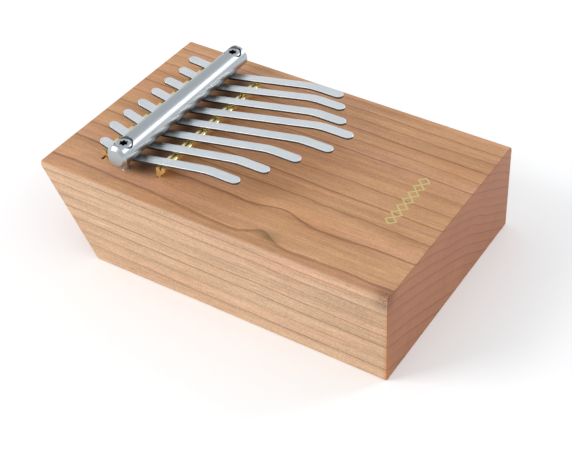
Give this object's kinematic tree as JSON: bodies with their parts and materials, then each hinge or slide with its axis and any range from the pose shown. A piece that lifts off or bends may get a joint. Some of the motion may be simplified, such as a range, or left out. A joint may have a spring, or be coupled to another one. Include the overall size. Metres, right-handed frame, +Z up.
{
  "type": "mbira (kalimba) thumb piano",
  "caption": "Solid-bodied thumb piano: flat steel tines clamped by a round bar over two brass bridges on a hollowed cherry block with a slanted rear end.",
  "frame": {"origin": "centre of the bounding box in plan, on the underside the instrument rests on", "axes": "+X along the length, from the clamped end of the tines to the end the tips point at; +Y across the tines; +Z up out of the deck"},
  "size_m": [0.1668, 0.113, 0.0599],
  "materials": {
    "cherry": "oiled, satin",
    "plate_wood": "oiled, satin",
    "bar_steel": "turned, satin",
    "screw_steel": "satin",
    "bridge_brass": "polished",
    "inlay_brass": "satin",
    "spring_steel": "satin"
  },
  "bodies": {
    "instrument": {"block": "cherry", "bottom_plate": "plate_wood", "pressure_bar": "bar_steel", "clamp_screws": "screw_steel", "rear_bridge": "bridge_brass", "front_bridge": "bridge_brass", "deck_inlay": "inlay_brass"},
    "tine_1": {"tine_1_heel": "spring_steel"},
    "tine_1_free_end": {"tine_1_tongue": "spring_steel"},
    "tine_2": {"tine_2_heel": "spring_steel"},
    "tine_2_free_end": {"tine_2_tongue": "spring_steel"},
    "tine_3": {"tine_3_heel": "spring_steel"},
    "tine_3_free_end": {"tine_3_tongue": "spring_steel"},
    "tine_4": {"tine_4_heel": "spring_steel"},
    "tine_4_free_end": {"tine_4_tongue": "spring_steel"},
    "tine_5": {"tine_5_heel": "spring_steel"},
    "tine_5_free_end": {"tine_5_tongue": "spring_steel"},
    "tine_6": {"tine_6_heel": "spring_steel"},
    "tine_6_free_end": {"tine_6_tongue": "spring_steel"},
    "tine_7": {"tine_7_heel": "spring_steel"},
    "tine_7_free_end": {"tine_7_tongue": "spring_steel"},
    "tine_8": {"tine_8_heel": "spring_steel"},
    "tine_8_free_end": {"tine_8_tongue": "spring_steel"}
  },
  "joints": [
    {"name": "tune_1", "type": "slide", "parent": "instrument", "child": "tine_1", "axis": [1, 0, 0], "range_m": [-0.0008, 0.0008]},
    {"name": "pluck_1", "type": "hinge", "parent": "tine_1", "child": "tine_1_free_end", "pos_m": [-0.0302, -0.03623, 0.04856], "axis": [0, 1, 0], "range_deg": [-3, 4], "stiffness_Nm_per_rad": 4.2},
    {"name": "tune_2", "type": "slide", "parent": "instrument", "child": "tine_2", "axis": [1, 0, 0], "range_m": [-0.0008, 0.0008]},
    {"name": "pluck_2", "type": "hinge", "parent": "tine_2", "child": "tine_2_free_end", "pos_m": [-0.0302, -0.02587, 0.04858], "axis": [0, 1, 0], "range_deg": [-3, 4], "stiffness_Nm_per_rad": 4.2},
    {"name": "tune_3", "type": "slide", "parent": "instrument", "child": "tine_3", "axis": [1, 0, 0], "range_m": [-0.0008, 0.0008]},
    {"name": "pluck_3", "type": "hinge", "parent": "tine_3", "child": "tine_3_free_end", "pos_m": [-0.0302, -0.01553, 0.04863], "axis": [0, 1, 0], "range_deg": [-3, 4], "stiffness_Nm_per_rad": 4.2},
    {"name": "tune_4", "type": "slide", "parent": "instrument", "child": "tine_4", "axis": [1, 0, 0], "range_m": [-0.0008, 0.0008]},
    {"name": "pluck_4", "type": "hinge", "parent": "tine_4", "child": "tine_4_free_end", "pos_m": [-0.0302, -0.00517, 0.04862], "axis": [0, 1, 0], "range_deg": [-3, 4], "stiffness_Nm_per_rad": 4.2},
    {"name": "tune_5", "type": "slide", "parent": "instrument", "child": "tine_5", "axis": [1, 0, 0], "range_m": [-0.0008, 0.0008]},
    {"name": "pluck_5", "type": "hinge", "parent": "tine_5", "child": "tine_5_free_end", "pos_m": [-0.0302, 0.00517, 0.0487], "axis": [0, 1, 0], "range_deg": [-3, 4], "stiffness_Nm_per_rad": 4.2},
    {"name": "tune_6", "type": "slide", "parent": "instrument", "child": "tine_6", "axis": [1, 0, 0], "range_m": [-0.0008, 0.0008]},
    {"name": "pluck_6", "type": "hinge", "parent": "tine_6", "child": "tine_6_free_end", "pos_m": [-0.0302, 0.01553, 0.04865], "axis": [0, 1, 0], "range_deg": [-3, 4], "stiffness_Nm_per_rad": 4.2},
    {"name": "tune_7", "type": "slide", "parent": "instrument", "child": "tine_7", "axis": [1, 0, 0], "range_m": [-0.0008, 0.0008]},
    {"name": "pluck_7", "type": "hinge", "parent": "tine_7", "child": "tine_7_free_end", "pos_m": [-0.0302, 0.02587, 0.0487], "axis": [0, 1, 0], "range_deg": [-3, 4], "stiffness_Nm_per_rad": 4.2},
    {"name": "tune_8", "type": "slide", "parent": "instrument", "child": "tine_8", "axis": [1, 0, 0], "range_m": [-0.0008, 0.0008]},
    {"name": "pluck_8", "type": "hinge", "parent": "tine_8", "child": "tine_8_free_end", "pos_m": [-0.0302, 0.03623, 0.04863], "axis": [0, 1, 0], "range_deg": [-3, 4], "stiffness_Nm_per_rad": 4.2}
  ]
}
